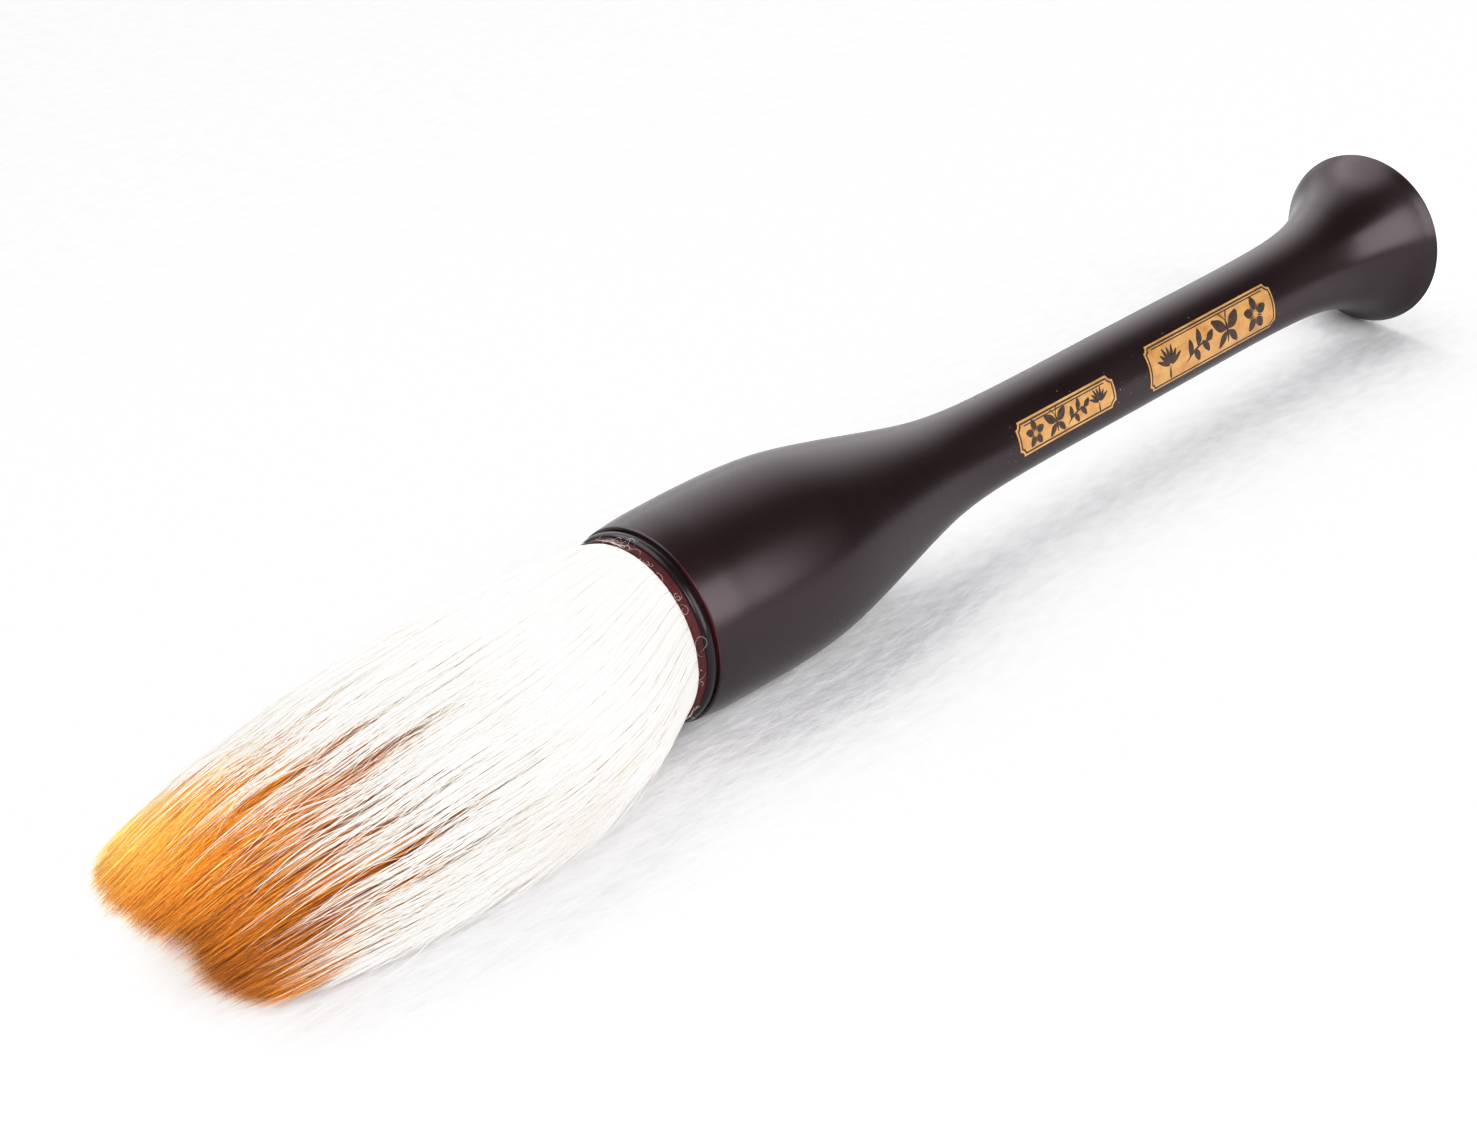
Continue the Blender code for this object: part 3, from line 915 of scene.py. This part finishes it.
def white_coat(count, locks):
    """The coat of goat hair: locks that narrow to points one after another over the core."""
    angle = uniform(0, math.tau, count)
    spread = 1.0 - 0.17 * rng.random(count) ** 2.2
    lock_angle = uneven_angles(locks, 0.75)
    lock_spread = 1.0 - 0.13 * rng.random(locks)
    own, turn = nearest_lock(angle, spread, lock_angle, lock_spread, 0.5)
    degrees = np.degrees(angle)
    reach = np.interp(degrees, COAT_ANGLES, COAT_REACH) + normal(0, 0.0030, locks)[own]
    end = np.interp(rng.random(count), LASTING, LASTING_STATIONS) - reach
    for middle, half, start in PARTINGS:
        near = np.abs((degrees - middle + 180) % 360 - 180) / half
        back = start - rng.exponential(0.004, count) - 0.030 * np.clip(near, 0, 1) ** 2
        end = np.where(near < 1, np.maximum(end, back), end)
    furthest = tip_end(spread, angle) + rng.exponential(0.002, count)
    end = np.minimum(np.maximum(end, furthest), -0.030)
    stations, share = from_mouth(end, COAT_RINGS)
    pull = grow(uniform(0.15, 0.65, locks)[own], -0.045, -0.098, stations)
    loose = rng.random(count) < 0.30
    pull = np.where(loose[:, None], pull * 0.2, pull)
    cross = grow(normal(0, 0.012, count), 0.25, 1.0, share)
    veer = grow(np.where(loose, normal(0, 0.20, count), normal(0, 0.02, count)), 0.60, 1.05, share)
    angles = angle[:, None] + turn[:, None] * pull + cross + veer
    angles += wander(count, share, 0.005, 1.3)
    spreads = spread[:, None] + (lock_spread[own] - spread)[:, None] * pull
    spreads += wander(count, share, 0.002, 1.4)
    spreads += grow(np.where(loose, uniform(0, 0.03, count), 0.0), 0.7, 1.0, share)
    paths = tuft_point(stations, np.clip(spreads, 0.5, 1.03), angles)
    radii = taper(share, uniform(0.000055, 0.000085, count), 0.6)
    creamy = 0.14 * smoothstep(0.55, 0.95, -np.cos(angle - CREAM_TURN))
    # Hairs that lie deeper in the coat get a lower, darker tone: painted shade between the
    # strands.
    tones = np.clip(rng.beta(3.4, 1.4, count) + (spread - 0.95) * 0.6 - creamy, 0.02, 0.98)
    return [values[np.argsort(angle)] for values in (paths, radii, tones)]


# The core's tone by angle round the tuft, its own colour with painted light on it: a painted
# highlight makes it golden on top, painted shade deep orange on the near side.
CORE_PAINTED_LIGHT_ANGLES = (0, 35, 60, 95, 125, 155, 185, 230, 300, 360)
CORE_TONES_AND_PAINTED_LIGHT = (0.90, 0.96, 0.88, 0.53, 0.37, 0.28, 0.42, 0.42, 0.60, 0.86)


def amber_core(count, locks):
    """The amber core: dense, blunt at the tip, with a shallow cleft between two lobes."""
    angle = uniform(0, math.tau, count)
    outer = rng.random(count) < 0.62
    spread = np.where(outer, 0.93 - 0.13 * rng.random(count) ** 1.8,
                      0.84 * np.sqrt(rng.random(count)))
    lock_angle = uneven_angles(locks, 0.9)
    lock_spread = 0.93 * np.sqrt(uniform(0.25, 1.0, locks))
    own, turn = nearest_lock(angle, spread, lock_angle, lock_spread, 1.6)
    end = tip_end(spread, angle) + normal(0, 0.0007, locks)[own]
    end = end + normal(0, 0.0011, count) + 0.007 * rng.random(count) ** 4
    start = uniform(-0.040, -0.028, count)
    stations, share = strand_stations(start, end, CORE_RINGS)
    pull = grow(uniform(0.2, 0.65, locks)[own], -0.070, -0.108, stations)
    cross = normal(0, 0.045, count)[:, None]
    loose = rng.random(count) < 0.25
    veer = grow(np.where(loose, normal(0, 0.14, count), 0.0), 0.55, 1.05, share)
    angles = angle[:, None] + turn[:, None] * pull + cross * share + veer
    angles += wander(count, share, 0.015, 1.3)
    spreads = spread[:, None] + (lock_spread[own] - spread)[:, None] * pull
    sunk = np.where(outer, 0.80, spread * 0.8)[:, None]
    out = smoothstep(0.0, 0.5, share)
    spreads = sunk * (1 - out) + spreads * out + wander(count, share, 0.010, 1.5)
    paths = tuft_point(stations, np.clip(spreads, 0.0, 1.0), angles)
    radii = taper(share, uniform(0.000052, 0.000092, count), 0.7)
    # tone by angle: partly the hair's own colour, partly painted light, lighter on top and darker
    # on the near side
    tones = np.interp(np.degrees(angle), CORE_PAINTED_LIGHT_ANGLES, CORE_TONES_AND_PAINTED_LIGHT)
    tones = np.clip(tones + normal(0, 0.08, locks)[own] + normal(0, 0.24, count), 0.02, 0.98)
    return [values[np.argsort(angle)] for values in (paths, radii, tones)]


def flyaways(count):
    """Loose white hairs that cross their neighbours and stand a little proud."""
    angle = uniform(0, math.tau, count)
    start = uniform(-0.070, -0.008, count)
    end = np.maximum(start - uniform(0.022, 0.050, count), TIP + 0.003)
    stations, share = strand_stations(start, end)
    stray = rng.random(count) < 0.14
    drift = np.where(stray, normal(0, 0.22, count), normal(0, 0.11, count))
    angles = angle[:, None] + drift[:, None] * share + wander(count, share, 0.05, 1.2)
    lift = grow(0.03 + np.where(stray, 0.22, 0.07) * rng.random(count) ** 2, 0.2, 1.0, share)
    paths = tuft_point(stations, 0.965 + lift, angles)
    radii = taper(share, uniform(0.000035, 0.00006, count), 0.5)
    return paths, radii, uniform(0.6, 0.98, count)


def amber_strays(count):
    """Loose amber hairs that cross the core's surface and fray its outline."""
    angle = uniform(0, math.tau, count)
    end = tip_end(np.full(count, 0.9), angle) + normal(0.0002, 0.0016, count)
    stations, share = strand_stations(uniform(-0.078, -0.056, count), end)
    drift = grow(normal(0, 0.13, count), 0.2, 1.0, share)
    lift = grow(uniform(-0.01, 0.10, count), 0.2, 1.0, share)
    angles = angle[:, None] + drift + wander(count, share, 0.03, 1.2)
    paths = tuft_point(stations, 0.92 + lift, angles)
    # tone by angle: partly the hair's own colour, partly painted light, lighter on top and darker
    # on the near side
    tones = np.interp(np.degrees(angle), CORE_PAINTED_LIGHT_ANGLES, CORE_TONES_AND_PAINTED_LIGHT)
    tones = np.clip(tones + normal(0.10, 0.12, count), 0.02, 0.98)
    return paths, taper(share, uniform(0.000040, 0.000060, count), 0.5), tones


def fringe(count):
    """Fine white hairs along the low near side, where the coat's outline frays."""
    angle = normal(1.06 * math.pi, 0.30, count)
    start = uniform(-0.058, -0.006, count)
    end = np.maximum(start - uniform(0.020, 0.042, count), TIP + 0.012)
    stations, share = strand_stations(start, end)
    drift = normal(0, 0.17, count)[:, None] * share
    lift = grow(0.01 + 0.11 * rng.random(count) ** 1.6, 0.1, 1.0, share)
    angles = angle[:, None] + drift + wander(count, share, 0.05, 1.2)
    paths = tuft_point(stations, 0.975 + lift, angles)
    radii = taper(share, uniform(0.00003, 0.00005, count), 0.5)
    return paths, radii, uniform(0.7, 0.98, count)


def lip_fuzz(count):
    """Thin curly fibres that cling to the maroon lip, most of them above and below."""
    share = np.broadcast_to(np.linspace(0, 1, FUZZ_POINTS), (count, FUZZ_POINTS))
    places = np.radians((82, 105, 190, 218, 150, 20))
    angle = rng.choice(places, count, p=(0.38, 0.10, 0.12, 0.26, 0.06, 0.08))
    angle = angle + normal(0, 0.30, count)
    size = uniform(0.0008, 0.0024, count)
    turns = uniform(0.4, 1.4, count) * rng.choice([-1, 1], count)
    swing = uniform(0, math.tau, count)[:, None] + math.tau * turns[:, None] * share
    step = size[:, None] * (0.4 + 0.9 * share) * 3 / (FUZZ_POINTS - 1)
    ahead = np.cumsum(step * np.cos(swing), axis=1)
    round_way = np.cumsum(step * np.sin(swing), axis=1)
    ahead = np.minimum(ahead + uniform(-0.0006, 0.0008, count)[:, None], 0.0024)
    around_axis = angle[:, None] + round_way / LIP_R
    rest = LIP_R + 0.00008 + (RING_R - LIP_R) * smoothstep(0.0013, 0.0026, ahead)
    rest = rest + 0.0006 * smoothstep(0.0002, -0.0012, ahead)
    out = rest + 0.00030 * np.sin(math.pi * share) * uniform(0.1, 1.0, count)[:, None]
    paths = np.stack([
        MOUTH_X + ahead, out * np.cos(around_axis), AXIS_Z + out * np.sin(around_axis),
    ], axis=-1)
    paths[..., 2] = np.maximum(paths[..., 2], FLOOR_CLEAR)
    radii = taper(share, np.full(count, FUZZ_R), 0.7)
    refs = np.stack([np.zeros(count), np.cos(angle), np.sin(angle)], axis=1)
    piece = tubes("lip_fuzz", paths, radii, refs, np.full(count, 0.9))
    on_handle(piece, WHITE, "white_hair")


def lay_hair(name, strands, made):
    """Make pieces from a list of strands, dress them and bake their transforms."""
    paths, radii, tones = strands
    per_strand = (paths.shape[1] - 2) * 6 + 4
    pieces = math.ceil(len(paths) * per_strand / PIECE_TRIANGLES)
    laid = []
    for k, part in enumerate(np.array_split(np.arange(len(paths)), pieces)):
        piece = tubes(f"{name}_{k + 1}", paths[part], radii[part], UP, tones[part])
        dress(piece, made)
        laid.append(bend(piece))
    return laid


def bend(piece):
    """Bake a piece's transform into its mesh."""
    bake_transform(piece)
    return piece


def packed_core():
    """The closed body of packed hair that the strands lie on."""
    rows, around = 40, 96
    stations = np.concatenate([np.linspace(0.0020, -0.0880, rows), [-0.0915, -0.0940, -0.0950]])
    shares = np.concatenate([np.full(rows, 0.80), [0.68, 0.45, 0.0]])
    shares[:4] = (0.97, 0.96, 0.92, 0.86)
    angles = np.arange(around) * math.tau / around
    points = tuft_point(
        np.repeat(stations, around), np.repeat(shares, around), np.tile(angles, len(stations)),
    )
    centre = tuft_point(stations[:1], np.zeros(1), np.zeros(1))
    points = np.concatenate([points, centre])
    along = (stations - stations[0]) / (stations[-1] - stations[0])
    quads, uv = ring_faces(along, around)
    cap = [(len(points) - 1, (k + 1) % around, k) for k in range(around)]
    cap_uv = [((0.0, (k + 0.5) / around), (0.001, (k + 1) / around), (0.001, k / around))
              for k in range(around)]
    uv = np.concatenate([uv[..., ::-1].reshape(-1, 2), np.array(cap_uv).reshape(-1, 2)])
    piece = make_mesh("packed_hair", points, quads, cap, uv)
    settle(piece, weld=1e-6)
    dress(piece, fibre_bed())
    return bend(piece)


WHITE = hair_material(
    "white_hair",
    [(0.0, (0.32, 0.23, 0.17)), (0.20, (0.50, 0.41, 0.35)), (0.42, (0.71, 0.665, 0.62)),
     (0.70, (0.87, 0.845, 0.81)), (1.0, (0.95, 0.935, 0.91))],
    # Along the strand: darker from the root towards the middle, painted shade near the mouth; a
    # little warmer at the tip.
    [(0.0, (0.90, 0.885, 0.87)), (0.40, (0.93, 0.92, 0.905)), (0.75, (1.0, 0.99, 0.98)),
     (1.0, (0.98, 0.95, 0.91))],
    rough=0.45, glow=0.10, shine=0.3, painted_glow=0.02,
)
AMBER = hair_material(
    "amber_hair",
    [(0.0, (0.13, 0.028, 0.006)), (0.28, (0.37, 0.112, 0.011)), (0.60, (0.76, 0.315, 0.020)),
     (0.85, (0.97, 0.49, 0.065)), (1.0, (1.0, 0.72, 0.27))],
    # Along the strand: much darker towards the root, painted shade under the white coat; the tip's
    # tint is the hair's own.
    [(0.0, (0.42, 0.28, 0.22)), (0.45, (0.72, 0.60, 0.52)), (0.72, (1.0, 1.0, 1.0)),
     (0.88, (1.0, 0.97, 0.96)), (1.0, (1.0, 0.92, 0.88))],
    rough=0.38, glow=0.0, shine=0.30, painted_glow=0.0,
)

white = lay_hair("white_coat", white_coat(count=16000, locks=240), WHITE)
lay_hair("amber_core", amber_core(count=15000, locks=900), AMBER)
lay_hair("amber_stray", amber_strays(count=1300), AMBER)
lay_hair("white_flyaway", flyaways(count=700), WHITE)
for hair in white:
    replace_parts(hair, "cover_hair")
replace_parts(packed_core(), "core_hair")
lip_fuzz(count=44)
lay_hair("white_fringe", fringe(count=900), WHITE)

# ---------------- pieces inside the cup

ROOT_TONES = (0.3, (0.45, 0.36, 0.25)), (0.7, (0.85, 0.80, 0.70))
THREAD_TONES = (0.3, (0.50, 0.44, 0.34)), (0.7, (0.80, 0.75, 0.64))
ROSIN_TONES = (0.3, (0.22, 0.07, 0.012)), (0.7, (0.46, 0.20, 0.04))
for node, made in (
    ("hair_root", grained("root_hair", 900.0, ROOT_TONES, (0.60, 0.75), stretch=(0.05, 1, 1))),
    ("binding_thread", grained("thread", 1400.0, THREAD_TONES, (0.70, 0.85),
                               stretch=(1, 0.3, 0.3))),
    ("rosin_plug", grained("rosin", 120.0, ROSIN_TONES, (0.12, 0.27),
                           extra={"Transmission Weight": 0.2})),
):
    for place in frame["nodes"][node].material_slots:
        place.material = made

# ---------------- stage, light and camera

AIM_STATION, AIM_RISE = 0.0288, 0.0018
CAMERA_AZIMUTH, CAMERA_ELEVATION, CAMERA_DISTANCE = -45.9, 31.49, 0.5077
LENS_MM, SENSOR_MM = 65.8, 36.0
FLOOR_SIZE = 24.0
SWEEP_HEADING, SWEEP_LIGHT = (0.50, 0.866, 0.10), 1.30
CEILING_HEADING, CEILING_LIGHT = (-0.30, 0.55, 0.78), 3.0
LEFT_HEADING, LEFT_LIGHT = (-0.70, -0.62, 0.34), 0.28
FILL_LIGHT = 0.06
# A bright exposure: darks as they are, light tones lifted towards white.
TONE_CURVE = ((0.10, 0.095), (0.40, 0.50), (0.62, 0.86), (0.84, 0.996))


def floor():
    bpy.ops.mesh.primitive_plane_add(size=FLOOR_SIZE, location=(0, 0, 0))
    piece = bpy.context.object
    piece.name = "floor"
    piece.data.materials.append(grained(
        "pale_floor", 420.0, ((0.3, (0.655, 0.65, 0.66)), (0.7, (0.745, 0.74, 0.75))), 0.9,
        detail=5.0, stretch=(0.4, 1, 1), relief=(0.5, 0.0005), extra={"Specular IOR Level": 0.1},
    ))


def area_light(name, place, aim, size, power, spread=math.pi):
    data = bpy.data.lights.new(name, "AREA")
    data.shape = "RECTANGLE"
    data.size, data.size_y = size
    data.energy = power
    data.spread = spread
    lamp = bpy.data.objects.new(name, data)
    lamp.location = place
    lamp.rotation_euler = (Vector(aim) - Vector(place)).to_track_quat("-Z", "Y").to_euler()
    bpy.context.scene.collection.objects.link(lamp)


def camera():
    turn = Euler((UPRIGHT - math.radians(CAMERA_ELEVATION), 0, math.radians(CAMERA_AZIMUTH)))
    back = turn.to_matrix() @ Vector((0, 0, CAMERA_DISTANCE))
    data = bpy.data.cameras.new("camera")
    data.lens, data.sensor_width = LENS_MM, SENSOR_MM
    data.clip_start, data.clip_end = 0.01, 20.0
    seen_from = bpy.data.objects.new("camera", data)
    seen_from.location = MOUTH + Vector((AIM_STATION, 0, AIM_RISE)) + back
    seen_from.rotation_euler = turn
    bpy.context.scene.collection.objects.link(seen_from)
    bpy.context.scene.camera = seen_from


def world():
    """A studio of soft white light: a sweep behind, a broad ceiling, a little from the left."""
    made = bpy.data.worlds.new("studio")
    m = Shading(made)
    direction = m.coordinates("Generated")
    sweep = m.combine("MULTIPLY", m.lobe(direction, SWEEP_HEADING, 0.42, 0.84, SWEEP_LIGHT),
                      m.lobe(direction, (0, 0, -1), -0.92, -0.60, 1.0))
    ceiling = m.lobe(direction, CEILING_HEADING, 0.76, 0.94, CEILING_LIGHT)
    left = m.lobe(direction, LEFT_HEADING, 0.40, 0.90, LEFT_LIGHT)
    total = m.combine("ADD", m.combine("ADD", sweep, ceiling), left)
    background = m.nodes["Background"]
    m.feed(background.inputs["Color"], grey(1.0))
    m.feed(background.inputs["Strength"], m.combine("ADD", total, FILL_LIGHT))
    bpy.context.scene.world = made


floor()
world()
area_light("front_panel", (0.16, -0.68, 0.44), (0.16, 0, 0.24), (0.76, 0.66), 6.4)
area_light("tip_panel", (-0.34, -0.20, 0.20), (-0.165, -0.028, 0.0), (0.16, 0.12), 0.080,
           spread=math.radians(50))
camera()

settings = bpy.context.scene.view_settings
settings.view_transform = "Standard"
settings.look = "None"
settings.exposure = 0.0
settings.use_curve_mapping = True
settings.curve_mapping.extend = "HORIZONTAL"
tone = settings.curve_mapping.curves[3]
for place, value in TONE_CURVE:
    tone.points.new(place, value)
for point in tone.points:
    point.handle_type = "AUTO_CLAMPED"
settings.curve_mapping.update()
